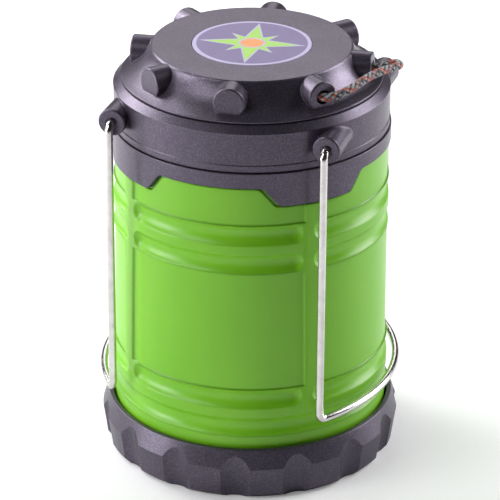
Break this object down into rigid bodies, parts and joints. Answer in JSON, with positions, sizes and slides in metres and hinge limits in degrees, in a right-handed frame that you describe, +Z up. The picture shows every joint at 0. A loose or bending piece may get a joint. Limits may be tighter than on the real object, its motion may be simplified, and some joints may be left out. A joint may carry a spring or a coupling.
{
  "type": "camping lantern",
  "caption": "Pop-up camping lantern: green shell on a fluted base, dark collar with wire bails, and a knobbed screw cap with a cord loop; the lit head pulls up.",
  "frame": {"origin": "centre of the underside of the base, on the plane the feet stand on", "axes": "+Z up through the cap; -Y is the front; the two bails stand on +X and -X and swing about axes parallel to Y"},
  "size_m": [0.0894, 0.0893, 0.1266],
  "materials": {
    "trim_plastic": "fine metallic-flecked charcoal, satin",
    "base_plastic": "charcoal with a fine spark-eroded texture",
    "green_plastic": "smooth gloss",
    "clear_plastic": "clear, ribbed inside",
    "chrome_plastic": "vacuum-metallised",
    "white_plastic": "satin white",
    "black_plastic": "fine matt texture",
    "wire_steel": "polished nickel",
    "screw_steel": "zinc plated",
    "rubber": "matt",
    "felt": "pressed felt",
    "board_white": "white solder mask",
    "board_green": "green solder mask",
    "led_phosphor": "phosphor under clear resin",
    "cell_jacket": "plain printed jacket with bare ends",
    "spring_steel": "nickel plated",
    "brass": "bright",
    "glass": "clear green tint",
    "magnet": "nickel plated",
    "lead_wire": "insulated",
    "badge": "printed film under a clear dome",
    "cord": "braided polyester with flecks"
  },
  "bodies": {
    "housing": {"base_ring": "base_plastic", "base_plate": "black_plastic", "rubber_feet": "rubber", "base_screws": "screw_steel", "outer_shell": "green_plastic", "skirt_ring": "trim_plastic", "stop_ring": "black_plastic", "friction_ring": "felt", "switch_magnet": "magnet"},
    "head": {"collar": "trim_plastic", "lens_tube": "clear_plastic", "foot_ring": "black_plastic", "foot_screws": "screw_steel", "top_reflector": "chrome_plastic", "bottom_reflector": "chrome_plastic", "led_column": "white_plastic", "led_boards": "board_white", "led_chips": "led_phosphor", "battery_tray": "black_plastic", "tray_screws": "screw_steel", "battery_cells": "cell_jacket", "battery_springs": "spring_steel", "driver_board": "board_green", "reed_switch": "glass", "battery_leads": "lead_wire", "cap_seal": "rubber"},
    "right_bail": {"bail_right": "wire_steel"},
    "left_bail": {"bail_left": "wire_steel"},
    "contact_plate": {"contact_disc": "white_plastic", "top_contacts": "brass"},
    "screw_cap": {"cap": "trim_plastic", "badge_disc": "badge", "pivot_screw": "screw_steel", "cord_knots": "cord"},
    "cord": {"cord_loop": "cord"}
  },
  "joints": [
    {"name": "light_slide", "type": "slide", "parent": "housing", "child": "head", "axis": [0, 0, 1], "range_m": [0, 0.059]},
    {"name": "right_bail_swing", "type": "hinge", "parent": "head", "child": "right_bail", "pos_m": [0.0318, 0, 0.1102], "axis": [0, -1, 0], "range_deg": [0, 192]},
    {"name": "left_bail_swing", "type": "hinge", "parent": "head", "child": "left_bail", "pos_m": [-0.0318, 0, 0.1102], "axis": [0, 1, 0], "range_deg": [0, 192]},
    {"name": "cap_lift", "type": "slide", "parent": "head", "child": "contact_plate", "axis": [0, 0, 1], "range_m": [0, 0.0041]},
    {"name": "cap_turn", "type": "hinge", "parent": "contact_plate", "child": "screw_cap", "pos_m": [0, 0, 0.1173], "axis": [0, 0, 1], "range_deg": [0, 90]},
    {"name": "cord_swing", "type": "hinge", "parent": "screw_cap", "child": "cord", "pos_m": [0.0299, -0.02345, 0.1218], "axis": [-0.2689, -0.9632, 0], "range_deg": [0, 40]}
  ],
  "couplings": [
    {"joint": "cap_lift", "follows": "cap_turn", "m_per_rad": 0.0025465}
  ]
}
